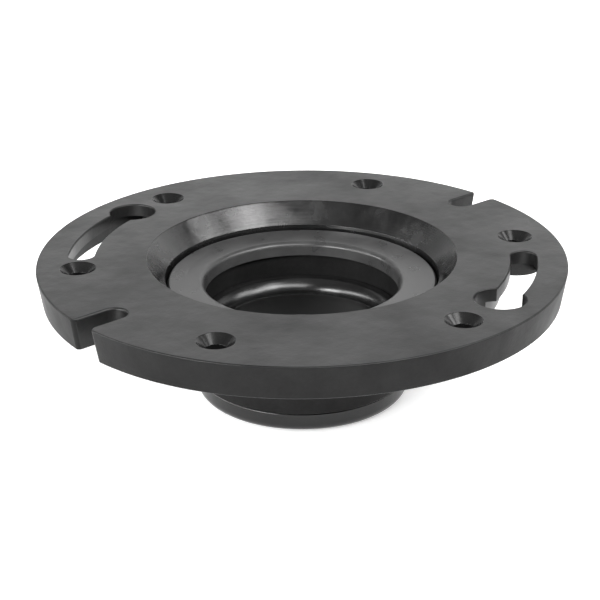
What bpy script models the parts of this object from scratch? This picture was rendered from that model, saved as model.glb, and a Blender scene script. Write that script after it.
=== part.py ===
"""Swivel-ring toilet flange for a 2 in soil pipe.

The floor ring turns around the hub, a snap ring under the floor ring keeps the two together, and a
rubber gasket in the hub grips the pipe. Metres, +Z up. The origin is the centre of the gasket's lower
end and +X runs through one of the two edge notches.
"""

from math import acos, asin, atan2, cos, degrees, hypot, radians, sin, sqrt

import bmesh
import bpy
from mathutils import Matrix, Vector

# Heights above the gasket's lower end
TOP_Z = 0.0493
PLATE_THICKNESS = 0.0109
PLATE_BOTTOM_Z = TOP_Z - PLATE_THICKNESS
RECESS_DEPTH = 0.0074
COLLAR_TOP_Z = TOP_Z - 0.0090
COLLAR_BOTTOM_Z = 0.0350
GASKET_FLANGE_TOP_Z = 0.0066
GASKET_TOP_Z = 0.0270

# Clearances
FACE_GAP = 0.0003
SWIVEL_CLEARANCE = 0.0005
COLLAR_CLEARANCE = 0.0008

# Floor ring
RIM_RADIUS = 0.0889
RIM_DRAFT = 0.0016
RIM_TOP_ROUND = 0.0006
RIM_BOTTOM_ROUND = 0.0004
RECESS_TOP_RADIUS = 0.0524
RECESS_BOTTOM_RADIUS = 0.0465
BOSS_TOP_RADIUS = 0.0550
BOSS_BOTTOM_RADIUS = 0.0525
LEDGE_THICKNESS = 0.0040

# Screw holes, countersunk for flat-head floor screws
SCREW_CIRCLE_RADIUS = 0.0751
SCREW_ANGLES_DEG = (30, 91.5, 150, 210, 270, 330)
SCREW_RADIUS = 0.0033
COUNTERSINK_RADIUS = 0.0060
SCREW_BOSS_RADIUS = 0.0100

# Open bolt notches in the rim: angle, then the rounding of the mouth's anticlockwise and clockwise corner
NOTCHES = (
    (-0.5, 0.0008, 0.0020),
    (180.9, 0.0025, 0.0015),
)
NOTCH_WIDTH = 0.0086
NOTCH_INNER_RADIUS = 0.0725

# Keyhole slots for the closet bolts, with a pocket below for the bolt heads: angles of the round end,
# of the narrow end's tip, and of the screw holes beside the narrow end and beside the round end
SLOTS_DEG = (
    (-74, -41, -30, -90),
    (106, 144, 150, 91.5),
)
SLOT_INNER_RADIUS = 0.0700
SLOT_OUTER_RADIUS = 0.0787
KEYHOLE_RADIUS = 0.0082
KEYHOLE_CIRCLE_RADIUS = 0.0742
SLOT_LIP_THICKNESS = 0.0045
POCKET_INNER_RADIUS = 0.0673
POCKET_OUTER_RADIUS = 0.0827

# Hub
NECK_RADIUS = 0.0375
BORE_RADIUS = 0.0349
COLLAR_CREST_RADIUS = 0.0400
COLLAR_CREST_DROP = 0.0003
COLLAR_DISH = 0.0005
COLLAR_BEVEL = 0.0008
LIP_TOP_RADIUS = 0.0333
LIP_RADIUS = 0.0330
LIP_DEPTH = 0.0050
LIP_ROUND = 0.0016
EDGE_CHAMFER = 0.0004
RING_GROOVE_DEPTH = 0.0012

# Snap ring
SNAP_THICKNESS = 0.0016
SNAP_OUTER_RADIUS = 0.0422
SNAP_GAP_WIDTH = 0.0110
SNAP_PLIER_HOLE_RADIUS = 0.0011
SNAP_PLIER_HOLE_OFFSET = 0.0082

# Gasket
GASKET_STOP_RADIUS = 0.0284
GASKET_BORE_RADIUS = 0.0296
GASKET_STOP_DEPTH = 0.0048
GASKET_TOP_ROUND = 0.0070
GASKET_STOP_SLOPE_DEG = 11.5
GASKET_FLANGE_RADIUS = 0.0368
GASKET_FLANGE_ROUND = 0.0030
GASKET_RIB_HEIGHT = 0.0007
GASKET_RIB_HALF_WIDTH = 0.0010
GASKET_RIB_HEIGHTS = (0.0120, 0.0080, 0.0040)
GASKET_MOUTH_RADIUS = 0.0316

# Facets
TURNED_STEPS = 96
HOLE_STEPS = 24
SHARP_ANGLE_DEG = 28
CUT_MARGIN = 0.0020

LEDGE_TOP_Z = COLLAR_BOTTOM_Z - FACE_GAP
LEDGE_BOTTOM_Z = LEDGE_TOP_Z - LEDGE_THICKNESS
LEDGE_BORE_RADIUS = NECK_RADIUS + SWIVEL_CLEARANCE
COLLAR_RADIUS = RECESS_BOTTOM_RADIUS - COLLAR_CLEARANCE
SNAP_TOP_Z = LEDGE_BOTTOM_Z - FACE_GAP
GASKET_RADIUS = BORE_RADIUS - FACE_GAP


def clear_scene():
    for obj in list(bpy.data.objects):
        bpy.data.objects.remove(obj, do_unlink=True)


def new_collection(name, hidden=False):
    collection = bpy.data.collections.new(name)
    bpy.context.scene.collection.children.link(collection)
    collection.hide_render = hidden
    return collection


def finish_material(name, colour, roughness, metallic):
    material = bpy.data.materials.new(name)
    material.use_nodes = True
    shader = material.node_tree.nodes["Principled BSDF"]
    shader.inputs["Base Color"].default_value = (*colour, 1)
    shader.inputs["Roughness"].default_value = roughness
    shader.inputs["Metallic"].default_value = metallic
    return material


def arc(centre, radius, start_deg, end_deg, steps):
    """Points on an arc, both ends included; angles run anticlockwise from the first axis."""
    turns = [radians(start_deg + (end_deg - start_deg) * i / steps) for i in range(steps + 1)]
    return [(centre[0] + radius * cos(turn), centre[1] + radius * sin(turn)) for turn in turns]


def polar(radius, angle_deg):
    return radius * cos(radians(angle_deg)), radius * sin(radians(angle_deg))


def turned(name, profile, collection, steps=TURNED_STEPS, closed=True):
    """Screws a profile of (radius, height) points round +Z, outer side first and from the top down."""
    mesh = bpy.data.meshes.new(name)
    edges = [(i, i + 1) for i in range(len(profile) - 1)]
    if closed:
        edges.append((len(profile) - 1, 0))
    mesh.from_pydata([(radius, 0, height) for radius, height in profile], edges, [])
    obj = bpy.data.objects.new(name, mesh)
    collection.objects.link(obj)
    screw = obj.modifiers.new("turn", "SCREW")
    screw.steps = steps
    screw.render_steps = steps
    screw.use_merge_vertices = True
    screw.merge_threshold = 1e-6
    return obj


def prism(name, outline, bottom, top, collection):
    """A closed mesh from a flat outline of (x, y) points."""
    curve = bpy.data.curves.new(name, "CURVE")
    curve.dimensions = "2D"
    curve.fill_mode = "BOTH"
    curve.extrude = (top - bottom) / 2
    spline = curve.splines.new("POLY")
    spline.points.add(len(outline) - 1)
    for point, (x, y) in zip(spline.points, outline):
        point.co = (x, y, 0, 1)
    spline.use_cyclic_u = True
    source = bpy.data.objects.new(name + "_curve", curve)
    bpy.context.scene.collection.objects.link(source)
    graph = bpy.context.evaluated_depsgraph_get()
    mesh = bpy.data.meshes.new_from_object(source.evaluated_get(graph))
    bpy.data.objects.remove(source, do_unlink=True)
    tidy = bmesh.new()
    tidy.from_mesh(mesh)
    bmesh.ops.remove_doubles(tidy, verts=tidy.verts, dist=1e-7)
    bmesh.ops.translate(tidy, verts=tidy.verts, vec=Vector((0, 0, (top + bottom) / 2)))
    bmesh.ops.recalc_face_normals(tidy, faces=tidy.faces)
    tidy.to_mesh(mesh)
    tidy.free()
    obj = bpy.data.objects.new(name, mesh)
    collection.objects.link(obj)
    return obj


def cut(target, cutter):
    boolean = target.modifiers.new(cutter.name, "BOOLEAN")
    boolean.operation = "DIFFERENCE"
    boolean.object = cutter


def turn_about_z(obj, angle_deg):
    obj.matrix_world = Matrix.Rotation(radians(angle_deg), 4, "Z") @ obj.matrix_world


def floor_ring_profile():
    """Top face, drafted rim, underside, boss, ledge under the hub's collar, and conical wax seat."""
    rim_bottom_radius = RIM_RADIUS - RIM_DRAFT
    top_round = arc((RIM_RADIUS - RIM_TOP_ROUND, TOP_Z - RIM_TOP_ROUND), RIM_TOP_ROUND, 90, 0, 2)
    bottom_centre = (rim_bottom_radius - RIM_BOTTOM_ROUND, PLATE_BOTTOM_Z + RIM_BOTTOM_ROUND)
    bottom_round = arc(bottom_centre, RIM_BOTTOM_ROUND, 0, -90, 2)
    return [
        (RECESS_TOP_RADIUS, TOP_Z),
        *top_round,
        *bottom_round,
        (BOSS_TOP_RADIUS, PLATE_BOTTOM_Z),
        (BOSS_BOTTOM_RADIUS, LEDGE_BOTTOM_Z),
        (LEDGE_BORE_RADIUS, LEDGE_BOTTOM_Z),
        (LEDGE_BORE_RADIUS, LEDGE_TOP_Z),
        (RECESS_BOTTOM_RADIUS, LEDGE_TOP_Z),
        (RECESS_BOTTOM_RADIUS, TOP_Z - RECESS_DEPTH),
    ]


def angle_between_circles(radius, other_centre_radius, other_radius):
    """The turn from the other circle's centre to where it crosses a circle of this radius about +Z."""
    square = radius**2 + other_centre_radius**2 - other_radius**2
    return degrees(acos(square / (2 * radius * other_centre_radius)))


def arc_through(centre, start, end, anticlockwise, steps):
    """Points on the arc about a centre from one point to another, both ends included."""
    start_deg = degrees(atan2(start[1] - centre[1], start[0] - centre[0]))
    end_deg = degrees(atan2(end[1] - centre[1], end[0] - centre[0]))
    if anticlockwise and end_deg < start_deg:
        end_deg += 360
    if not anticlockwise and end_deg > start_deg:
        end_deg -= 360
    radius = hypot(start[0] - centre[0], start[1] - centre[1])
    return arc(centre, radius, start_deg, end_deg, steps)


def keyhole_outline(keyhole_deg, tip_deg):
    """A curved slot that ends in a round hole wide enough for a bolt's head."""
    middle_radius = (SLOT_INNER_RADIUS + SLOT_OUTER_RADIUS) / 2
    half_width = (SLOT_OUTER_RADIUS - SLOT_INNER_RADIUS) / 2
    end_deg = tip_deg - degrees(half_width / middle_radius)
    outer_turn = angle_between_circles(SLOT_OUTER_RADIUS, KEYHOLE_CIRCLE_RADIUS, KEYHOLE_RADIUS)
    inner_turn = angle_between_circles(SLOT_INNER_RADIUS, KEYHOLE_CIRCLE_RADIUS, KEYHOLE_RADIUS)
    outer_side = arc((0, 0), SLOT_OUTER_RADIUS, keyhole_deg + outer_turn, end_deg, 8)
    round_end = arc(polar(middle_radius, end_deg), half_width, end_deg, end_deg + 180, 10)
    inner_side = arc((0, 0), SLOT_INNER_RADIUS, end_deg, keyhole_deg + inner_turn, 8)
    centre = polar(KEYHOLE_CIRCLE_RADIUS, keyhole_deg)
    hole = arc_through(centre, inner_side[-1], outer_side[0], True, 20)
    return outer_side + round_end[1:-1] + inner_side + hole[1:-1]


def pocket_outline(near_deg, far_deg):
    """A curved pocket that ends at the round bosses of the two screw holes beside the slot."""
    outer_turn = angle_between_circles(POCKET_OUTER_RADIUS, SCREW_CIRCLE_RADIUS, SCREW_BOSS_RADIUS)
    inner_turn = angle_between_circles(POCKET_INNER_RADIUS, SCREW_CIRCLE_RADIUS, SCREW_BOSS_RADIUS)
    outer_side = arc((0, 0), POCKET_OUTER_RADIUS, far_deg + outer_turn, near_deg - outer_turn, 10)
    inner_side = arc((0, 0), POCKET_INNER_RADIUS, near_deg - inner_turn, far_deg + inner_turn, 10)
    near_centre = polar(SCREW_CIRCLE_RADIUS, near_deg)
    far_centre = polar(SCREW_CIRCLE_RADIUS, far_deg)
    near_end = arc_through(near_centre, outer_side[-1], inner_side[0], False, 8)
    far_end = arc_through(far_centre, inner_side[-1], outer_side[0], False, 8)
    return outer_side + near_end[1:-1] + inner_side + far_end[1:-1]


def mouth_corner(rounding):
    """The notch's wall at +Y where it meets the rim, rounded to touch both, from the rim inwards."""
    centre_y = NOTCH_WIDTH / 2 + rounding
    centre_x = sqrt((RIM_RADIUS - rounding) ** 2 - centre_y**2)
    rim_deg = degrees(atan2(centre_y, centre_x))
    return [(RIM_RADIUS + CUT_MARGIN, centre_y), *arc((centre_x, centre_y), rounding, rim_deg, -90, 6)]


def notch_outline(anticlockwise_rounding, clockwise_rounding):
    """A straight slot along +X, round at its inner end and open past the rim."""
    half_width = NOTCH_WIDTH / 2
    inner_end = arc((NOTCH_INNER_RADIUS + half_width, 0), half_width, 90, 270, 12)
    clockwise_side = [(x, -y) for x, y in reversed(mouth_corner(clockwise_rounding))]
    return [*mouth_corner(anticlockwise_rounding), *inner_end, *clockwise_side]


def screw_hole_profile():
    """A cone for the screw's head over a clearance hole, both longer than the plate is thick."""
    cone_depth = COUNTERSINK_RADIUS - SCREW_RADIUS
    return [
        (0, TOP_Z + CUT_MARGIN),
        (COUNTERSINK_RADIUS + CUT_MARGIN, TOP_Z + CUT_MARGIN),
        (SCREW_RADIUS, TOP_Z - cone_depth),
        (SCREW_RADIUS, PLATE_BOTTOM_Z - CUT_MARGIN),
        (0, PLATE_BOTTOM_Z - CUT_MARGIN),
    ]


def build_floor_ring(parts, cutters):
    ring = turned("flange_ring", floor_ring_profile(), parts)
    cut_bottom = PLATE_BOTTOM_Z - CUT_MARGIN
    cut_top = TOP_Z + CUT_MARGIN
    lip_bottom = TOP_Z - SLOT_LIP_THICKNESS
    for index, (keyhole_deg, tip_deg, near_deg, far_deg) in enumerate(SLOTS_DEG):
        slot = keyhole_outline(keyhole_deg, tip_deg)
        cut(ring, prism(f"cut_slot_{index}", slot, cut_bottom, cut_top, cutters))
        pocket = pocket_outline(near_deg, far_deg)
        cut(ring, prism(f"cut_pocket_{index}", pocket, cut_bottom, lip_bottom, cutters))
    for index, (turn, *roundings) in enumerate(NOTCHES):
        notch = prism(f"cut_notch_{index}", notch_outline(*roundings), cut_bottom, cut_top, cutters)
        turn_about_z(notch, turn)
        cut(ring, notch)
    for index, turn in enumerate(SCREW_ANGLES_DEG):
        hole = turned(f"cut_screw_{index}", screw_hole_profile(), cutters, HOLE_STEPS, closed=False)
        hole.location = (*polar(SCREW_CIRCLE_RADIUS, turn), 0)
        cut(ring, hole)
    return ring


def hub_profile():
    """Collar that sinks towards the bore, neck with the snap ring's groove, bore, and rounded lip."""
    groove_top = SNAP_TOP_Z + FACE_GAP
    groove_bottom = SNAP_TOP_Z - SNAP_THICKNESS - FACE_GAP
    groove_radius = NECK_RADIUS - RING_GROOVE_DEPTH
    hub_bottom = GASKET_FLANGE_TOP_Z + FACE_GAP
    lip_top = COLLAR_TOP_Z - COLLAR_DISH
    lip_round = arc((LIP_TOP_RADIUS + LIP_ROUND, lip_top - LIP_ROUND), LIP_ROUND, 180, 90, 4)
    return [
        (COLLAR_RADIUS - COLLAR_BEVEL, COLLAR_TOP_Z),
        (COLLAR_RADIUS, COLLAR_TOP_Z - COLLAR_BEVEL),
        (COLLAR_RADIUS, COLLAR_BOTTOM_Z),
        (NECK_RADIUS, COLLAR_BOTTOM_Z),
        (NECK_RADIUS, groove_top),
        (groove_radius, groove_top),
        (groove_radius, groove_bottom),
        (NECK_RADIUS, groove_bottom),
        (NECK_RADIUS, hub_bottom + EDGE_CHAMFER),
        (NECK_RADIUS - EDGE_CHAMFER, hub_bottom),
        (BORE_RADIUS, hub_bottom),
        (BORE_RADIUS, lip_top - LIP_DEPTH),
        (LIP_RADIUS, lip_top - LIP_DEPTH),
        *lip_round,
        (COLLAR_CREST_RADIUS, COLLAR_TOP_Z - COLLAR_CREST_DROP),
    ]


def build_hub(parts):
    return turned("hub", hub_profile(), parts)


def snap_ring_profile():
    inner_radius = NECK_RADIUS - RING_GROOVE_DEPTH + FACE_GAP
    bottom = SNAP_TOP_Z - SNAP_THICKNESS
    return [
        (SNAP_OUTER_RADIUS, SNAP_TOP_Z),
        (SNAP_OUTER_RADIUS, bottom),
        (inner_radius, bottom),
        (inner_radius, SNAP_TOP_Z),
    ]


def cylinder(name, radius, centre, bottom, top, collection):
    solid = bmesh.new()
    bmesh.ops.create_cone(
        solid, cap_ends=True, segments=HOLE_STEPS, radius1=radius, radius2=radius, depth=top - bottom
    )
    mesh = bpy.data.meshes.new(name)
    solid.to_mesh(mesh)
    solid.free()
    obj = bpy.data.objects.new(name, mesh)
    obj.location = (*centre, (top + bottom) / 2)
    collection.objects.link(obj)
    return obj


def build_snap_ring(parts, cutters):
    """A split ring whose gap, at +Y, lets it open over the neck; pliers hold it by two small holes."""
    ring = turned("retaining_ring", snap_ring_profile(), parts)
    bottom = SNAP_TOP_Z - SNAP_THICKNESS - CUT_MARGIN
    top = SNAP_TOP_Z + CUT_MARGIN
    half_gap = SNAP_GAP_WIDTH / 2
    inside = NECK_RADIUS / 2
    outside = SNAP_OUTER_RADIUS + CUT_MARGIN
    corners = [(-half_gap, inside), (half_gap, inside), (half_gap, outside), (-half_gap, outside)]
    cut(ring, prism("cut_snap_gap", corners, bottom, top, cutters))
    hole_circle = (NECK_RADIUS + SNAP_OUTER_RADIUS) / 2
    turn = degrees(asin(SNAP_PLIER_HOLE_OFFSET / hole_circle))
    for index, angle in enumerate((90 - turn, 90 + turn)):
        centre = polar(hole_circle, angle)
        name = f"cut_plier_hole_{index}"
        cut(ring, cylinder(name, SNAP_PLIER_HOLE_RADIUS, centre, bottom, top, cutters))
    return ring


def gasket_ribs():
    """Three sealing ribs down the bore, listed from the lowest to the highest."""
    ribs = []
    for height in reversed(GASKET_RIB_HEIGHTS):
        ribs.append((GASKET_BORE_RADIUS, height - GASKET_RIB_HALF_WIDTH))
        ribs.append((GASKET_BORE_RADIUS - GASKET_RIB_HEIGHT, height))
        ribs.append((GASKET_BORE_RADIUS, height + GASKET_RIB_HALF_WIDTH))
    return ribs


def gasket_profile():
    """Sleeve with a domed pipe stop at the top, sealing ribs, and a rounded flange below the hub."""
    flange_centre = (GASKET_FLANGE_RADIUS - GASKET_FLANGE_ROUND, GASKET_FLANGE_ROUND)
    stop_bottom = GASKET_TOP_Z - GASKET_STOP_DEPTH
    step = GASKET_BORE_RADIUS - GASKET_STOP_RADIUS
    low_deg = 180 - GASKET_STOP_SLOPE_DEG
    centre_radius = GASKET_STOP_RADIUS + GASKET_TOP_ROUND * cos(radians(GASKET_STOP_SLOPE_DEG))
    centre_z = stop_bottom - GASKET_TOP_ROUND * sin(radians(GASKET_STOP_SLOPE_DEG))
    high_deg = 180 - degrees(asin((GASKET_TOP_Z - centre_z) / GASKET_TOP_ROUND))
    return [
        (GASKET_RADIUS - EDGE_CHAMFER, GASKET_TOP_Z),
        (GASKET_RADIUS, GASKET_TOP_Z - EDGE_CHAMFER),
        (GASKET_RADIUS, GASKET_FLANGE_TOP_Z),
        (GASKET_FLANGE_RADIUS - EDGE_CHAMFER, GASKET_FLANGE_TOP_Z),
        (GASKET_FLANGE_RADIUS, GASKET_FLANGE_TOP_Z - EDGE_CHAMFER),
        *arc(flange_centre, GASKET_FLANGE_ROUND, 0, -90, 4),
        (GASKET_MOUTH_RADIUS, 0),
        (GASKET_BORE_RADIUS, GASKET_MOUTH_RADIUS - GASKET_BORE_RADIUS),
        *gasket_ribs(),
        (GASKET_BORE_RADIUS, stop_bottom - step),
        (GASKET_STOP_RADIUS, stop_bottom),
        *arc((centre_radius, centre_z), GASKET_TOP_ROUND, low_deg, high_deg, 6)[1:],
    ]


def build_gasket(parts):
    return turned("pipe_gasket", gasket_profile(), parts)


def finish_mesh(obj):
    """Replaces the modifiers by their result, shaded smooth but for its real edges."""
    graph = bpy.context.evaluated_depsgraph_get()
    mesh = bpy.data.meshes.new_from_object(obj.evaluated_get(graph))
    mesh.shade_smooth()
    mesh.set_sharp_from_angle(angle=radians(SHARP_ANGLE_DEG))
    obj.modifiers.clear()
    obj.data = mesh


def main():
    clear_scene()
    parts = new_collection("toilet_flange")
    cutters = new_collection("cutters", hidden=True)
    swivel = bpy.data.objects.new("ring_swivel_axis", None)
    parts.objects.link(swivel)

    ring = build_floor_ring(parts, cutters)
    ring.parent = swivel
    hub = build_hub(parts)
    snap_ring = build_snap_ring(parts, cutters)
    gasket = build_gasket(parts)

    finishes = (
        (ring, finish_material("black_coated_iron", (0.10, 0.10, 0.10), 0.45, 0.0)),
        (hub, finish_material("machined_black_iron", (0.06, 0.06, 0.06), 0.30, 0.0)),
        (snap_ring, finish_material("spring_steel", (0.30, 0.30, 0.31), 0.35, 1.0)),
        (gasket, finish_material("black_rubber", (0.02, 0.02, 0.02), 0.40, 0.0)),
    )
    for obj, material in finishes:
        finish_mesh(obj)
        obj.data.materials.append(material)
    for cutter in cutters.objects:
        cutter.hide_render = True
        cutter.display_type = "WIRE"


main()
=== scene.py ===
"""Looks for the swivel-ring toilet flange.

Finer meshes over the CAD solids, their materials, the studio and the camera. Lengths are in metres.
"""

from math import acos, atan2, ceil, cos, degrees, hypot, radians, sin, sqrt, tan

import bmesh
import bpy
from mathutils import Matrix, Vector


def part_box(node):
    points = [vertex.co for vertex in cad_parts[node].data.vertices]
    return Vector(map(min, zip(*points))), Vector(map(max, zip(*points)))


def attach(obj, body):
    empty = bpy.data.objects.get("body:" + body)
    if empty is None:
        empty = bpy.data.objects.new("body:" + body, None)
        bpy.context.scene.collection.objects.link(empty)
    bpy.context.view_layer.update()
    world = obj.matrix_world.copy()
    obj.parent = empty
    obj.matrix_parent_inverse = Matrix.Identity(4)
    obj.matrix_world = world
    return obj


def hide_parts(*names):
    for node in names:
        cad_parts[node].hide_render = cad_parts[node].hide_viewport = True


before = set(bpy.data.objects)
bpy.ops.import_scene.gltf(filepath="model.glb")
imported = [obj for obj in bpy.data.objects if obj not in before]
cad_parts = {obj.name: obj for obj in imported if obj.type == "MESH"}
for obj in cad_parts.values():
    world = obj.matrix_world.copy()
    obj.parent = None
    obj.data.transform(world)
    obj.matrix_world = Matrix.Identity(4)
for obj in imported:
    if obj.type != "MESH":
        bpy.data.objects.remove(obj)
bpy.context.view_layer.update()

MM = 0.001

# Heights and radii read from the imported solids
RING_LOW, RING_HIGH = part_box("flange_ring")
HUB_LOW, HUB_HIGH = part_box("hub")
SNAP_LOW, SNAP_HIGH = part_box("retaining_ring")
GASKET_LOW, GASKET_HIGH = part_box("pipe_gasket")
TOP_Z = RING_HIGH.z
RIM_RADIUS = RING_HIGH.y
LEDGE_BOTTOM_Z = RING_LOW.z
COLLAR_TOP_Z = HUB_HIGH.z
COLLAR_RADIUS = HUB_HIGH.y
HUB_BOTTOM_Z = HUB_LOW.z
SNAP_TOP_Z = SNAP_HIGH.z
SNAP_BOTTOM_Z = SNAP_LOW.z
SNAP_RADIUS = -SNAP_LOW.y
GASKET_TOP_Z = GASKET_HIGH.z
GASKET_FLANGE_RADIUS = GASKET_HIGH.y

# Floor ring
PLATE_BOTTOM_Z = TOP_Z - 10.9 * MM
RIM_DRAFT = 1.6 * MM
RECESS_TOP_RADIUS = 52.4 * MM
RECESS_TOP_ROUND = 0.6 * MM
RECESS_BOTTOM_RADIUS = 46.5 * MM
RECESS_BOTTOM_Z = TOP_Z - 7.4 * MM
RECESS_BOTTOM_ROUND = 0.2 * MM
BOSS_TOP_RADIUS = 55.0 * MM
BOSS_TOP_ROUND = 1.2 * MM
BOSS_BOTTOM_RADIUS = 52.5 * MM
LEDGE_TOP_Z = LEDGE_BOTTOM_Z + 4.0 * MM
LEDGE_BORE_RADIUS = 38.0 * MM
EDGE_ROUND = 0.7 * MM
RIM_TOP_ROUND = 0.5 * MM
FINE_ROUND = 0.3 * MM

# Cut-outs of the floor ring. A notch has its angle and the rounding of its mouth's anticlockwise and
# clockwise corner. A slot has the angles of its round end, its narrow tip, and the screw holes beside
# the narrow end and beside the round end.
SCREW_CIRCLE_RADIUS = 75.1 * MM
SCREW_ANGLES_DEG = (30, 91.5, 150, 210, 270, 330)
SCREW_RADIUS = 3.3 * MM
COUNTERSINK_RADIUS = 6.0 * MM
COUNTERSINK_TOP_ROUND = 0.4 * MM
COUNTERSINK_BOTTOM_ROUND = 0.2 * MM
SCREW_BOSS_RADIUS = 10.0 * MM
NOTCHES = ((-0.5, 0.8 * MM, 2.0 * MM), (180.9, 2.5 * MM, 1.5 * MM))
NOTCH_HALF_WIDTH = 4.15 * MM
NOTCH_DRAFT = 0.5 * MM
NOTCH_INNER_RADIUS = 72.5 * MM
NOTCH_EDGE_ROUND = 1.1 * MM
MOUTH_START_DEG = 8
SLOTS_DEG = ((-74, -41, -30, -90), (106, 144, 150, 91.5))
SLOT_INNER_RADIUS = 70.0 * MM
SLOT_OUTER_RADIUS = 78.7 * MM
KEYHOLE_RADIUS = 8.2 * MM
KEYHOLE_CIRCLE_RADIUS = 74.2 * MM
SLOT_LIP_THICKNESS = 4.5 * MM
POCKET_INNER_RADIUS = 67.3 * MM
POCKET_OUTER_RADIUS = 82.7 * MM
POCKET_EDGE_ROUND = 0.4 * MM
POCKET_CUT_MARGIN = 0.8 * MM

# Hub
NECK_RADIUS = 37.5 * MM
COLLAR_BOTTOM_Z = 35.0 * MM
COLLAR_CREST_RADIUS = 40.0 * MM
COLLAR_CREST_DROP = 0.3 * MM
COLLAR_CREST_ROUND = 25.0 * MM
COLLAR_DISH = 0.4 * MM
COLLAR_BEVEL = 0.6 * MM
HUB_BORE_RADIUS = 34.9 * MM
LIP_TOP_RADIUS = 33.4 * MM
LIP_RADIUS = 33.0 * MM
LIP_ROUND = 2.0 * MM
LIP_DEPTH = 5.0 * MM
GROOVE_RADIUS = 36.3 * MM
GROOVE_CLEARANCE = 0.3 * MM
GROOVE_TOP_Z = SNAP_TOP_Z + GROOVE_CLEARANCE
GROOVE_BOTTOM_Z = SNAP_BOTTOM_Z - GROOVE_CLEARANCE
NECK_END_ROUND = 0.5 * MM
LIP_BOTTOM_ROUND = 0.2 * MM

# Snap ring
SNAP_INNER_RADIUS = 36.6 * MM
SNAP_ROUND = 0.2 * MM
SNAP_GAP_HALF_WIDTH = 5.5 * MM
SNAP_HOLE_RADIUS = 1.1 * MM
SNAP_HOLE_OFFSET = 8.2 * MM

# Gasket
GASKET_RADIUS = 34.6 * MM
GASKET_TOP_EDGE_ROUND = 0.4 * MM
GASKET_FLANGE_TOP_Z = 6.6 * MM
GASKET_FLANGE_TOP_ROUND = 0.5 * MM
GASKET_FLANGE_ROUND = 3.0 * MM
GASKET_STOP_RADIUS = 28.4 * MM
GASKET_BORE_RADIUS = 29.6 * MM
GASKET_STOP_HEIGHT = 4.8 * MM
GASKET_TOP_ROUND = 7.0 * MM
GASKET_DOME_DEG = (11.5, 52)
GASKET_SHOULDER_ROUND = 3.0 * MM
GASKET_MOUTH_RADIUS = 31.6 * MM
GASKET_RIB_HEIGHT = 0.7 * MM
GASKET_RIB_HALF_WIDTH = 1.0 * MM
GASKET_RIB_ROUND = 0.4 * MM
GASKET_RIB_HEIGHTS = (4.0 * MM, 8.0 * MM, 12.0 * MM)

# Mesh detail
TURNED_STEPS = 288
HOLE_STEPS = 48
POCKET_SIDE_STEPS = 30
SLOT_SIDE_STEPS = 24
SLOT_TIP_STEPS = 20
KEYHOLE_STEPS = 44
POCKET_END_STEPS = 16
NOTCH_END_STEPS = 24
MOUTH_STEPS = 8
DOME_STEPS = 20
SMALL_HOLE_STEPS = 24
FILLET_STEP_DEG = 18
SHARP_ANGLE_DEG = 32
CUT_MARGIN = 2.0 * MM
CUT_FLARE_DEG = 8
MERGE_DISTANCE = 1e-7
FACE_AREA_WEIGHT = 100

# Studio, turned from the camera's side of the object
CAMERA_AZIMUTH_DEG = -130.24
CAMERA_ELEVATION_DEG = 21.377
CAMERA_DISTANCE = 477.8 * MM
CAMERA_LENS_MM = 84.73
CAMERA_ROLL_DEG = -0.498
CAMERA_SENSOR_MM = 36
CAMERA_CLIP_START = 10 * MM
AIM = Vector((-0.539, 0.544, 31.488)) * MM
FLOOR_RADIUS = 2.4
COVE_RADIUS = 0.7
COVE_STEPS = 10
WALL_TOP_Z = 1.6
FLOOR_STEPS = 96
# Glow of the floor round the part, a painted light that lifts the part's shadows
FLOOR_GLOW = 0.4
GLOW_FADE = (1.2, 2.2)
WORLD_STRENGTH = 0.22


# ---------------------------------------------------------------- outlines


def arc(centre, radius, start_deg, end_deg, steps):
    turns = [radians(start_deg + (end_deg - start_deg) * i / steps) for i in range(steps + 1)]
    return [(centre[0] + radius * cos(turn), centre[1] + radius * sin(turn)) for turn in turns]


def polar(radius, angle_deg):
    return radius * cos(radians(angle_deg)), radius * sin(radians(angle_deg))


def arc_between(centre, start, end, anticlockwise, steps):
    start_deg = degrees(atan2(start[1] - centre[1], start[0] - centre[0]))
    end_deg = degrees(atan2(end[1] - centre[1], end[0] - centre[0]))
    if anticlockwise and end_deg < start_deg:
        end_deg += 360
    if not anticlockwise and end_deg > start_deg:
        end_deg -= 360
    radius = hypot(start[0] - centre[0], start[1] - centre[1])
    return arc(centre, radius, start_deg, end_deg, steps)


def filleted(corners, closed=True):
    """Points of an outline whose corners, given as (x, y, radius), are rounded by arcs."""
    points = []
    count = len(corners)
    for i, (x, y, radius) in enumerate(corners):
        here = Vector((x, y))
        if radius == 0 or (not closed and i in (0, count - 1)):
            points.append((x, y))
            continue
        before = (Vector(corners[i - 1][:2]) - here).normalized()
        after = (Vector(corners[(i + 1) % count][:2]) - here).normalized()
        inside = before.angle(after)
        reach = radius / tan(inside / 2)
        centre = here + (before + after).normalized() * radius / sin(inside / 2)
        start = here + before * reach
        end = here + after * reach
        turn = (start - centre).angle_signed(end - centre)
        steps = max(2, ceil(degrees(abs(turn)) / FILLET_STEP_DEG))
        for step in range(steps + 1):
            spoke = (start - centre).copy()
            spoke.rotate(Matrix.Rotation(-turn * step / steps, 2))
            points.append(tuple(centre + spoke))
    return points


def crossing_turn(radius, other_centre_radius, other_radius):
    """The turn, in degrees, from another circle's centre to where it crosses a circle about the axis."""
    square = radius**2 + other_centre_radius**2 - other_radius**2
    return degrees(acos(square / (2 * radius * other_centre_radius)))


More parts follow.
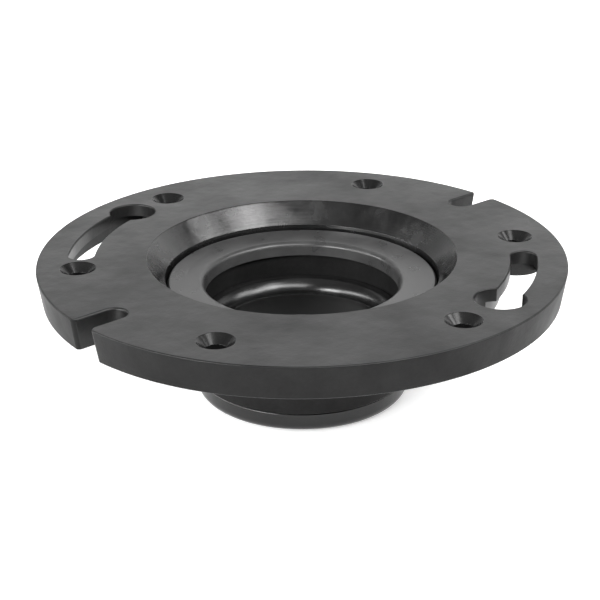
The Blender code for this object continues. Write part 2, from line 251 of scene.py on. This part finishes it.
def keyhole_outline(grow, keyhole_deg, tip_deg):
    inner_radius = SLOT_INNER_RADIUS - grow
    outer_radius = SLOT_OUTER_RADIUS + grow
    middle_radius = (inner_radius + outer_radius) / 2
    half_width = (outer_radius - inner_radius) / 2
    end_deg = tip_deg - degrees((SLOT_OUTER_RADIUS - SLOT_INNER_RADIUS) / 2 / middle_radius)
    hole_radius = KEYHOLE_RADIUS + grow
    outer_turn = crossing_turn(outer_radius, KEYHOLE_CIRCLE_RADIUS, hole_radius)
    inner_turn = crossing_turn(inner_radius, KEYHOLE_CIRCLE_RADIUS, hole_radius)
    outer_side = arc((0, 0), outer_radius, keyhole_deg + outer_turn, end_deg, SLOT_SIDE_STEPS)
    tip_centre = polar(middle_radius, end_deg)
    round_end = arc(tip_centre, half_width, end_deg, end_deg + 180, SLOT_TIP_STEPS)
    inner_side = arc((0, 0), inner_radius, end_deg, keyhole_deg + inner_turn, SLOT_SIDE_STEPS)
    centre = polar(KEYHOLE_CIRCLE_RADIUS, keyhole_deg)
    hole = arc_between(centre, inner_side[-1], outer_side[0], True, KEYHOLE_STEPS)
    return outer_side + round_end[1:-1] + inner_side + hole[1:-1]


def pocket_outline(grow, near_deg, far_deg):
    inner_radius = POCKET_INNER_RADIUS - grow
    outer_radius = POCKET_OUTER_RADIUS + grow
    boss_radius = SCREW_BOSS_RADIUS - grow
    outer_turn = crossing_turn(outer_radius, SCREW_CIRCLE_RADIUS, boss_radius)
    inner_turn = crossing_turn(inner_radius, SCREW_CIRCLE_RADIUS, boss_radius)
    outer_side = arc((0, 0), outer_radius, far_deg + outer_turn, near_deg - outer_turn, POCKET_SIDE_STEPS)
    inner_side = arc((0, 0), inner_radius, near_deg - inner_turn, far_deg + inner_turn, POCKET_SIDE_STEPS)
    near_centre = polar(SCREW_CIRCLE_RADIUS, near_deg)
    far_centre = polar(SCREW_CIRCLE_RADIUS, far_deg)
    near_end = arc_between(near_centre, outer_side[-1], inner_side[0], False, POCKET_END_STEPS)
    far_end = arc_between(far_centre, inner_side[-1], outer_side[0], False, POCKET_END_STEPS)
    return outer_side + near_end[1:-1] + inner_side + far_end[1:-1]


def mouth_corner(half_width, rim_radius, rounding):
    """The notch's wall at +Y where it meets the rim, from outside the rim inwards."""
    centre_y = half_width + rounding
    centre_x = sqrt((rim_radius - rounding) ** 2 - centre_y**2)
    mouth_deg = degrees(atan2(centre_y, centre_x))
    rounded = arc((centre_x, centre_y), rounding, mouth_deg - MOUTH_START_DEG, -90, MOUTH_STEPS)
    return [(RIM_RADIUS + CUT_MARGIN, centre_y + CUT_MARGIN), *rounded]


def notch_outline(grow, rim_radius, anticlockwise_rounding, clockwise_rounding):
    """A straight slot along +X that is round inside and rounded where it meets the rim."""
    half_width = NOTCH_HALF_WIDTH + grow
    end_centre = (NOTCH_INNER_RADIUS + NOTCH_HALF_WIDTH, 0)
    inner_end = arc(end_centre, half_width, 90, 270, NOTCH_END_STEPS)
    upper = mouth_corner(half_width, rim_radius, anticlockwise_rounding)
    lower = [(x, -y) for x, y in reversed(mouth_corner(half_width, rim_radius, clockwise_rounding))]
    return [*upper, *inner_end, *lower]


# ---------------------------------------------------------------- meshes


def object_of(name, mesh):
    obj = bpy.data.objects.new(name, mesh)
    bpy.context.scene.collection.objects.link(obj)
    return obj


def turned(name, profile, steps=TURNED_STEPS, closed=True):
    mesh = bpy.data.meshes.new(name)
    edges = [(i, i + 1) for i in range(len(profile) - 1)]
    if closed:
        edges.append((len(profile) - 1, 0))
    mesh.from_pydata([(radius, 0, height) for radius, height in profile], edges, [])
    obj = object_of(name, mesh)
    screw = obj.modifiers.new("turn", "SCREW")
    screw.steps = steps
    screw.render_steps = steps
    screw.use_merge_vertices = True
    screw.merge_threshold = MERGE_DISTANCE
    return obj


def wall_levels(top, bottom, top_round, bottom_round, margin=CUT_MARGIN, draft=0):
    """(height, grow) down a cutter's wall; it flares past the plate's faces, which rounds their edges."""
    flare = margin * tan(radians(CUT_FLARE_DEG))
    path = [
        (margin, top + flare, 0),
        (0, top, top_round),
        (draft, bottom, bottom_round),
        (draft + margin, bottom - flare, 0),
    ]
    return [(height, grow) for grow, height in filleted(path, closed=False)]


def lofted(name, outlines):
    """A closed mesh through outlines given as (height, points), from the top down."""
    solid = bmesh.new()
    rings = [[solid.verts.new((x, y, height)) for x, y in points] for height, points in outlines]
    for upper, lower in zip(rings, rings[1:]):
        for i in range(len(upper)):
            j = (i + 1) % len(upper)
            solid.faces.new((upper[i], upper[j], lower[j], lower[i]))
    solid.faces.new(rings[0])
    solid.faces.new(rings[-1])
    bmesh.ops.recalc_face_normals(solid, faces=solid.faces)
    mesh = bpy.data.meshes.new(name)
    solid.to_mesh(mesh)
    solid.free()
    return object_of(name, mesh)


def cut(target, cutter, turn_deg=0, offset=(0, 0)):
    cutter.matrix_world = Matrix.Rotation(radians(turn_deg), 4, "Z") @ Matrix.Translation((*offset, 0))
    boolean = target.modifiers.new(cutter.name, "BOOLEAN")
    boolean.operation = "DIFFERENCE"
    boolean.object = cutter
    return cutter


def bake_shape(obj, cutters=()):
    """Turns the modifiers into the mesh itself, with flat faces that stay flat beside rounded edges."""
    graph = bpy.context.evaluated_depsgraph_get()
    mesh = bpy.data.meshes.new_from_object(obj.evaluated_get(graph))
    obj.modifiers.clear()
    obj.data = mesh
    for cutter in cutters:
        bpy.data.objects.remove(cutter, do_unlink=True)
    mesh.shade_smooth()
    mesh.set_sharp_from_angle(angle=radians(SHARP_ANGLE_DEG))
    weighted = obj.modifiers.new("flat_faces", "WEIGHTED_NORMAL")
    weighted.keep_sharp = True
    weighted.weight = FACE_AREA_WEIGHT


def floor_ring_profile():
    return filleted(
        [
            (RECESS_TOP_RADIUS, TOP_Z, RECESS_TOP_ROUND),
            (RIM_RADIUS, TOP_Z, RIM_TOP_ROUND),
            (RIM_RADIUS - RIM_DRAFT, PLATE_BOTTOM_Z, FINE_ROUND),
            (BOSS_TOP_RADIUS, PLATE_BOTTOM_Z, BOSS_TOP_ROUND),
            (BOSS_BOTTOM_RADIUS, LEDGE_BOTTOM_Z, EDGE_ROUND),
            (LEDGE_BORE_RADIUS, LEDGE_BOTTOM_Z, FINE_ROUND),
            (LEDGE_BORE_RADIUS, LEDGE_TOP_Z, FINE_ROUND),
            (RECESS_BOTTOM_RADIUS, LEDGE_TOP_Z, 0),
            (RECESS_BOTTOM_RADIUS, RECESS_BOTTOM_Z, RECESS_BOTTOM_ROUND),
        ]
    )


def rim_radius_at(height):
    below = min(max(TOP_Z - height, 0), TOP_Z - PLATE_BOTTOM_Z)
    return RIM_RADIUS - RIM_DRAFT * below / (TOP_Z - PLATE_BOTTOM_Z)


def screw_cutter(name):
    flare = CUT_MARGIN * tan(radians(CUT_FLARE_DEG))
    cone_depth = COUNTERSINK_RADIUS - SCREW_RADIUS
    wall = filleted(
        [
            (COUNTERSINK_RADIUS + CUT_MARGIN, TOP_Z + flare, 0),
            (COUNTERSINK_RADIUS, TOP_Z, COUNTERSINK_TOP_ROUND),
            (SCREW_RADIUS, TOP_Z - cone_depth, COUNTERSINK_BOTTOM_ROUND),
            (SCREW_RADIUS, PLATE_BOTTOM_Z, FINE_ROUND),
            (SCREW_RADIUS + CUT_MARGIN, PLATE_BOTTOM_Z - flare, 0),
        ],
        closed=False,
    )
    above = TOP_Z + CUT_MARGIN
    below = PLATE_BOTTOM_Z - CUT_MARGIN
    ends = [(wall[-1][0], below), (0, below)]
    return turned(name, [(0, above), (wall[0][0], above), *wall, *ends], HOLE_STEPS, closed=False)


def build_floor_ring():
    ring = turned("floor_ring", floor_ring_profile())
    cutters = []
    through = wall_levels(TOP_Z, PLATE_BOTTOM_Z, EDGE_ROUND, FINE_ROUND)
    pocket_top = TOP_Z - SLOT_LIP_THICKNESS
    pocket = wall_levels(pocket_top, PLATE_BOTTOM_Z, 0, POCKET_EDGE_ROUND, POCKET_CUT_MARGIN)[1:]
    for keyhole_deg, tip_deg, near_deg, far_deg in SLOTS_DEG:
        slot = [(z, keyhole_outline(grow, keyhole_deg, tip_deg)) for z, grow in through]
        cutters.append(cut(ring, lofted("slot", slot)))
        under = [(z, pocket_outline(grow, near_deg, far_deg)) for z, grow in pocket]
        cutters.append(cut(ring, lofted("pocket", under)))
    open_wall = wall_levels(TOP_Z, PLATE_BOTTOM_Z, NOTCH_EDGE_ROUND, FINE_ROUND, draft=NOTCH_DRAFT)
    for turn, *roundings in NOTCHES:
        notch = [(z, notch_outline(grow, rim_radius_at(z), *roundings)) for z, grow in open_wall]
        cutters.append(cut(ring, lofted("notch", notch), turn))
    for turn in SCREW_ANGLES_DEG:
        cutters.append(cut(ring, screw_cutter("screw_hole"), turn, (SCREW_CIRCLE_RADIUS, 0)))
    bake_shape(ring, cutters)
    return ring


def build_hub():
    lip_top = COLLAR_TOP_Z - COLLAR_DISH
    profile = filleted(
        [
            (COLLAR_RADIUS - COLLAR_BEVEL, COLLAR_TOP_Z, FINE_ROUND),
            (COLLAR_RADIUS, COLLAR_TOP_Z - COLLAR_BEVEL, FINE_ROUND),
            (COLLAR_RADIUS, COLLAR_BOTTOM_Z, FINE_ROUND),
            (NECK_RADIUS, COLLAR_BOTTOM_Z, FINE_ROUND),
            (NECK_RADIUS, GROOVE_TOP_Z, 0),
            (GROOVE_RADIUS, GROOVE_TOP_Z, 0),
            (GROOVE_RADIUS, GROOVE_BOTTOM_Z, 0),
            (NECK_RADIUS, GROOVE_BOTTOM_Z, 0),
            (NECK_RADIUS, HUB_BOTTOM_Z, NECK_END_ROUND),
            (HUB_BORE_RADIUS, HUB_BOTTOM_Z, FINE_ROUND),
            (HUB_BORE_RADIUS, lip_top - LIP_DEPTH, 0),
            (LIP_RADIUS, lip_top - LIP_DEPTH, LIP_BOTTOM_ROUND),
            (LIP_TOP_RADIUS, lip_top, LIP_ROUND),
            (COLLAR_CREST_RADIUS, COLLAR_TOP_Z - COLLAR_CREST_DROP, COLLAR_CREST_ROUND),
        ]
    )
    hub = turned("swivel_hub", profile)
    bake_shape(hub)
    return hub


def build_snap_ring():
    profile = filleted(
        [
            (SNAP_RADIUS, SNAP_TOP_Z, SNAP_ROUND),
            (SNAP_RADIUS, SNAP_BOTTOM_Z, SNAP_ROUND),
            (SNAP_INNER_RADIUS, SNAP_BOTTOM_Z, SNAP_ROUND),
            (SNAP_INNER_RADIUS, SNAP_TOP_Z, SNAP_ROUND),
        ]
    )
    ring = turned("snap_ring", profile)
    top = SNAP_TOP_Z + CUT_MARGIN
    bottom = SNAP_BOTTOM_Z - CUT_MARGIN
    inside = NECK_RADIUS / 2
    outside = SNAP_RADIUS + CUT_MARGIN
    half = SNAP_GAP_HALF_WIDTH
    corners = [(-half, inside), (half, inside), (half, outside), (-half, outside)]
    cutters = [cut(ring, lofted("snap_gap", [(top, corners), (bottom, corners)]))]
    hole_circle = (NECK_RADIUS + SNAP_RADIUS) / 2
    for side in (-1, 1):
        x = side * SNAP_HOLE_OFFSET
        centre = (x, sqrt(hole_circle**2 - x**2))
        circle = arc(centre, SNAP_HOLE_RADIUS, 0, 360, SMALL_HOLE_STEPS)[:-1]
        cutters.append(cut(ring, lofted("plier_hole", [(top, circle), (bottom, circle)])))
    bake_shape(ring, cutters)
    return ring


def build_gasket():
    stop_bottom = GASKET_TOP_Z - GASKET_STOP_HEIGHT
    mouth_top = GASKET_MOUTH_RADIUS - GASKET_BORE_RADIUS
    ribs = []
    for height in GASKET_RIB_HEIGHTS:
        ribs.append((GASKET_BORE_RADIUS, height - GASKET_RIB_HALF_WIDTH, FINE_ROUND))
        ribs.append((GASKET_BORE_RADIUS - GASKET_RIB_HEIGHT, height, GASKET_RIB_ROUND))
        ribs.append((GASKET_BORE_RADIUS, height + GASKET_RIB_HALF_WIDTH, FINE_ROUND))
    low_deg, high_deg = GASKET_DOME_DEG
    dome_radius = GASKET_STOP_RADIUS + GASKET_TOP_ROUND * cos(radians(low_deg))
    dome_z = stop_bottom - GASKET_TOP_ROUND * sin(radians(low_deg))
    dome = arc((dome_radius, dome_z), GASKET_TOP_ROUND, 180 - low_deg, 180 - high_deg, DOME_STEPS)
    shoulder = dome[-1][0] + (GASKET_TOP_Z - dome[-1][1]) * tan(radians(high_deg))
    profile = filleted(
        [
            (GASKET_RADIUS, GASKET_TOP_Z, GASKET_TOP_EDGE_ROUND),
            (GASKET_RADIUS, GASKET_FLANGE_TOP_Z, 0),
            (GASKET_FLANGE_RADIUS, GASKET_FLANGE_TOP_Z, GASKET_FLANGE_TOP_ROUND),
            (GASKET_FLANGE_RADIUS, GASKET_LOW.z, GASKET_FLANGE_ROUND),
            (GASKET_MOUTH_RADIUS, GASKET_LOW.z, FINE_ROUND),
            (GASKET_BORE_RADIUS, mouth_top, FINE_ROUND),
            *ribs,
            (GASKET_BORE_RADIUS, stop_bottom - GASKET_BORE_RADIUS + GASKET_STOP_RADIUS, FINE_ROUND),
            *((radius, height, 0) for radius, height in dome),
            (shoulder, GASKET_TOP_Z, GASKET_SHOULDER_ROUND),
        ]
    )
    gasket = turned("push_on_gasket", profile)
    bake_shape(gasket)
    return gasket


# ---------------------------------------------------------------- materials


NOISE_LOW, NOISE_HIGH = 0.3, 0.7


def new_material(name):
    material = bpy.data.materials.new(name)
    material.use_nodes = True
    return material, material.node_tree, material.node_tree.nodes["Principled BSDF"]


def node(tree, kind, **settings):
    made = tree.nodes.new(kind)
    for key, value in settings.items():
        setattr(made, key, value)
    return made


def noise(tree, scale, detail=2.0, stretch=(1, 1, 1)):
    """Noise in object space; the scale is in features per metre."""
    place = node(tree, "ShaderNodeTexCoord")
    mapping = node(tree, "ShaderNodeMapping")
    mapping.inputs["Scale"].default_value = stretch
    made = node(tree, "ShaderNodeTexNoise")
    made.inputs["Scale"].default_value = scale
    made.inputs["Detail"].default_value = detail
    tree.links.new(place.outputs["Object"], mapping.inputs["Vector"])
    tree.links.new(mapping.outputs["Vector"], made.inputs["Vector"])
    return made.outputs["Fac"]


def spread(tree, value, low, high, out_low, out_high):
    made = node(tree, "ShaderNodeMapRange")
    made.inputs["From Min"].default_value = low
    made.inputs["From Max"].default_value = high
    made.inputs["To Min"].default_value = out_low
    made.inputs["To Max"].default_value = out_high
    tree.links.new(value, made.inputs["Value"])
    return made.outputs["Result"]


def by_noise(tree, value, out_low, out_high):
    return spread(tree, value, NOISE_LOW, NOISE_HIGH, out_low, out_high)


def calculate(tree, operation, *values):
    made = node(tree, "ShaderNodeMath", operation=operation)
    for socket, value in zip(made.inputs, values):
        if isinstance(value, (int, float)):
            socket.default_value = value
        else:
            tree.links.new(value, socket)
    return made.outputs["Value"]


def grey(tree, value):
    made = node(tree, "ShaderNodeCombineColor")
    for socket in made.inputs:
        tree.links.new(value, socket)
    return made.outputs["Color"]


def bump(tree, heights):
    """Chains bumps given as (height, distance in metres, strength)."""
    normal = None
    for height, distance, strength in heights:
        made = node(tree, "ShaderNodeBump")
        made.inputs["Distance"].default_value = distance
        made.inputs["Strength"].default_value = strength
        tree.links.new(height, made.inputs["Height"])
        if normal:
            tree.links.new(normal, made.inputs["Normal"])
        normal = made.outputs["Normal"]
    return normal


def coated_iron(name, shade, gloss, ior):
    """Black dip-coated casting: fine grain, faint cloudy patches, slightly uneven gloss."""
    material, tree, shader = new_material(name)
    clouds = noise(tree, 90, 3)
    grain = noise(tree, 900, 3)
    tone = by_noise(tree, clouds, 0.75 * shade, 1.25 * shade)
    speck = by_noise(tree, grain, 0.85, 1.15)
    tree.links.new(grey(tree, calculate(tree, "MULTIPLY", tone, speck)), shader.inputs["Base Color"])
    drifts = calculate(tree, "ADD", spread(tree, noise(tree, 24, 1), 0.35, 0.65, 0.04, -0.04), 1 - gloss)
    uneven = calculate(tree, "ADD", drifts, by_noise(tree, clouds, 0.04, -0.04))
    tree.links.new(uneven, shader.inputs["Roughness"])
    shader.inputs["IOR"].default_value = ior
    waves = noise(tree, 160, 1)
    normal = bump(tree, [(waves, 0.4 * MM, 0.35), (grain, 0.06 * MM, 0.6)])
    tree.links.new(normal, shader.inputs["Normal"])
    return material


def radius_and_height(tree):
    place = node(tree, "ShaderNodeTexCoord")
    split = node(tree, "ShaderNodeSeparateXYZ")
    tree.links.new(place.outputs["Object"], split.inputs["Vector"])
    x, y, z = split.outputs
    square = calculate(tree, "ADD", calculate(tree, "MULTIPLY", x, x), calculate(tree, "MULTIPLY", y, y))
    return calculate(tree, "SQRT", square), z


def turning_marks(tree, pitch):
    """Fine rings round the axis, as a lathe leaves them, from height and radius together."""
    along = calculate(tree, "ADD", *radius_and_height(tree))
    lines = node(tree, "ShaderNodeTexNoise", noise_dimensions="1D")
    lines.inputs["Scale"].default_value = 1 / pitch
    lines.inputs["Detail"].default_value = 2
    tree.links.new(along, lines.inputs["W"])
    return lines.outputs["Fac"]


def machined_iron(name, shade, rough_low, rough_high, ior, unevenness):
    """Coated over a turned surface, so faint rings show and the gloss is higher."""
    material, tree, shader = new_material(name)
    rings = turning_marks(tree, 0.5 * MM)
    clouds = noise(tree, 120, 3)
    tone = by_noise(tree, clouds, 0.8 * shade, 1.2 * shade)
    tree.links.new(grey(tree, tone), shader.inputs["Base Color"])
    tree.links.new(spread(tree, clouds, 0.35, 0.65, rough_low, rough_high), shader.inputs["Roughness"])
    shader.inputs["IOR"].default_value = ior
    grain = noise(tree, 1200, 2)
    layers = ((rings, 0.05 * MM, 0.35), (clouds, 0.3 * MM, 0.3), (grain, 0.03 * MM, 0.4))
    heights = [(height, distance, unevenness * strength) for height, distance, strength in layers]
    normal = bump(tree, heights)
    tree.links.new(normal, shader.inputs["Normal"])
    return material


def spring_steel():
    material, tree, shader = new_material("spring_steel")
    clouds = noise(tree, 200, 3)
    tree.links.new(grey(tree, by_noise(tree, clouds, 0.22, 0.34)), shader.inputs["Base Color"])
    tree.links.new(by_noise(tree, clouds, 0.30, 0.42), shader.inputs["Roughness"])
    shader.inputs["Metallic"].default_value = 1.0
    tree.links.new(bump(tree, [(noise(tree, 1500, 2), 0.02 * MM, 0.5)]), shader.inputs["Normal"])
    return material


def moulded_rubber():
    material, tree, shader = new_material("moulded_rubber")
    clouds = noise(tree, 150, 2)
    tree.links.new(grey(tree, by_noise(tree, clouds, 0.005, 0.008)), shader.inputs["Base Color"])
    tree.links.new(by_noise(tree, clouds, 0.18, 0.26), shader.inputs["Roughness"])
    shader.inputs["IOR"].default_value = 1.48
    waves = noise(tree, 260, 1)
    tree.links.new(bump(tree, [(waves, 0.15 * MM, 0.3)]), shader.inputs["Normal"])
    return material


def studio_paper():
    """White sweep whose floor also glows, a painted light that lifts the part's shadows on it, but for
    where the part stands and out by the wall.
    """
    material, tree, shader = new_material("studio_paper")
    fibres = noise(tree, 40, 3)
    tree.links.new(grey(tree, by_noise(tree, fibres, 0.90, 0.92)), shader.inputs["Base Color"])
    shader.inputs["Roughness"].default_value = 0.9
    shader.inputs["Specular IOR Level"].default_value = 0.1
    shader.inputs["Emission Color"].default_value = (1, 1, 1, 1)
    radius, _ = radius_and_height(tree)
    # Painted light: the floor glows to lift the part's shadows, with no glow right under the part
    near = spread(tree, radius, GASKET_BORE_RADIUS, GASKET_FLANGE_RADIUS, 0, FLOOR_GLOW)
    far = spread(tree, radius, *GLOW_FADE, 1, 0)
    tree.links.new(calculate(tree, "MULTIPLY", near, far), shader.inputs["Emission Strength"])
    return material


# ---------------------------------------------------------------- studio


def studio_point(turn_deg, elevation_deg, distance, centre=(0, 0, 0)):
    """A point round the object; the turn is to the right of the camera's side, seen from the camera."""
    across, up = polar(distance, elevation_deg)
    x, y = polar(across, CAMERA_AZIMUTH_DEG + turn_deg)
    return Vector((x, y, up)) + Vector(centre)


def softbox(name, turn_deg, elevation_deg, distance, width, height, power):
    """A lamp that faces the part and that the camera can't see; metres and watts."""
    light = bpy.data.lights.new(name, "AREA")
    light.shape = "RECTANGLE"
    light.size = width
    light.size_y = height
    light.energy = power
    obj = object_of(name, light)
    obj.location = studio_point(turn_deg, elevation_deg, distance)
    obj.rotation_euler = (Vector((0, 0, TOP_Z)) - obj.location).to_track_quat("-Z", "Y").to_euler()
    obj.visible_camera = False


def build_studio():
    cove = arc((FLOOR_RADIUS, COVE_RADIUS), COVE_RADIUS, -90, 0, COVE_STEPS)
    profile = [(0, 0), *cove, (FLOOR_RADIUS + COVE_RADIUS, WALL_TOP_Z)]
    paper = turned("studio_floor", profile, FLOOR_STEPS, closed=False)
    paper.data.materials.append(studio_paper())
    softbox("key", 25, 47, 1.2, 1.0, 0.36, 10)
    softbox("key_middle", 56, 43, 1.2, 0.6, 0.42, 5.2)
    softbox("key_side", 82, 35, 1.2, 0.85, 0.36, 6.8)
    softbox("key_high", 58, 59, 1.2, 0.35, 0.3, 1.8)
    softbox("left", -70, 23, 1.2, 1.9, 0.3, 20)
    softbox("left_front", -40, 22, 1.2, 0.5, 0.26, 8)
    softbox("top", 0, 84, 1.4, 1.4, 1.4, 1.1)
    softbox("back", -170, 42, 1.6, 2.0, 0.8, 3)
    softbox("backdrop", 158, 25, 2.1, 3.6, 1.2, 10.5)
    world = bpy.data.worlds.new("studio")
    world.use_nodes = True
    background = world.node_tree.nodes["Background"]
    background.inputs["Color"].default_value = (1, 1, 1, 1)
    background.inputs["Strength"].default_value = WORLD_STRENGTH
    bpy.context.scene.world = world


def build_camera():
    camera = bpy.data.cameras.new("camera")
    camera.lens = CAMERA_LENS_MM
    camera.sensor_width = CAMERA_SENSOR_MM
    camera.clip_start = CAMERA_CLIP_START
    obj = object_of("camera", camera)
    obj.location = studio_point(0, CAMERA_ELEVATION_DEG, CAMERA_DISTANCE, (0, 0, TOP_Z))
    look = (AIM - obj.location).to_track_quat("-Z", "Y").to_matrix()
    roll = Matrix.Rotation(radians(CAMERA_ROLL_DEG), 3, "Z")
    obj.rotation_euler = (look @ roll).to_euler()
    bpy.context.scene.camera = obj


# ---------------------------------------------------------------- assembly

# Places in each piece's list of materials, and how far a face's normal may point up or down to get them
SEAT_INDEX, RIM_INDEX, HOLE_INDEX = 1, 2, 3
NECK_INDEX = 1
SEAT_UPRIGHT = 0.8
HOLE_UPRIGHT = 0.9
RIM_UPRIGHT = 0.5


def dress(obj, node_name, body, slot, *materials):
    for material in materials:
        obj.data.materials.append(material)
    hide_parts(node_name)
    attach(obj, body)


def paint_floor_ring(ring):
    """The wax seat and the screw holes' cones have materials of their own; the rim's side gets a darker,
    duller copy of the plate's coating as painted shade.
    """
    holes = [polar(SCREW_CIRCLE_RADIUS, turn) for turn in SCREW_ANGLES_DEG]
    for face in ring.data.polygons:
        x, y, z = face.center
        radius = hypot(x, y)
        from_hole = min(hypot(x - across, y - along) for across, along in holes)
        upright = abs(face.normal.z)
        on_seat = RECESS_BOTTOM_RADIUS - MM < radius < RECESS_TOP_RADIUS and z > LEDGE_TOP_Z
        if on_seat and upright < SEAT_UPRIGHT:
            face.material_index = SEAT_INDEX
        elif from_hole < COUNTERSINK_RADIUS and upright < HOLE_UPRIGHT:
            face.material_index = HOLE_INDEX
        elif radius > RIM_RADIUS - RIM_DRAFT - FINE_ROUND and upright < RIM_UPRIGHT:
            face.material_index = RIM_INDEX


def paint_hub(hub):
    """The neck below the collar is coated, where the collar is turned and given a far lighter tone as
    painted light.
    """
    for face in hub.data.polygons:
        if face.center.z < COLLAR_BOTTOM_Z - FINE_ROUND:
            face.material_index = NECK_INDEX


def main():
    ring = build_floor_ring()
    seat = machined_iron("machined_seat", 0.006, 0.14, 0.30, 1.58, 1.0)
    plate = coated_iron("coated_plate", 0.008, 0.63, 1.33)
    # Painted shade: the rim's side is the plate's coating made darker and less reflective
    rim = coated_iron("coated_rim_painted_shade", 0.006, 0.52, 1.22)
    countersink = machined_iron("machined_countersink", 0.006, 0.16, 0.24, 1.4, 0.6)
    dress(ring, "flange_ring", "ring_body", "ring_coating", plate, seat, rim, countersink)
    paint_floor_ring(ring)
    hub = build_hub()
    # Painted light: the collar and lip are made far lighter than the coated neck and plate
    collar = machined_iron("turned_collar_painted_light", 0.034, 0.27, 0.34, 1.40, 0.3)
    neck = coated_iron("coated_neck", 0.008, 0.55, 1.22)
    dress(hub, "hub", "hub_body", "hub_coating", collar, neck)
    paint_hub(hub)
    dress(build_snap_ring(), "retaining_ring", "hub_body", "spring_steel", spring_steel())
    dress(build_gasket(), "pipe_gasket", "hub_body", "gasket_rubber", moulded_rubber())
    build_studio()
    build_camera()
    bpy.context.scene.view_settings.view_transform = "Standard"


main()
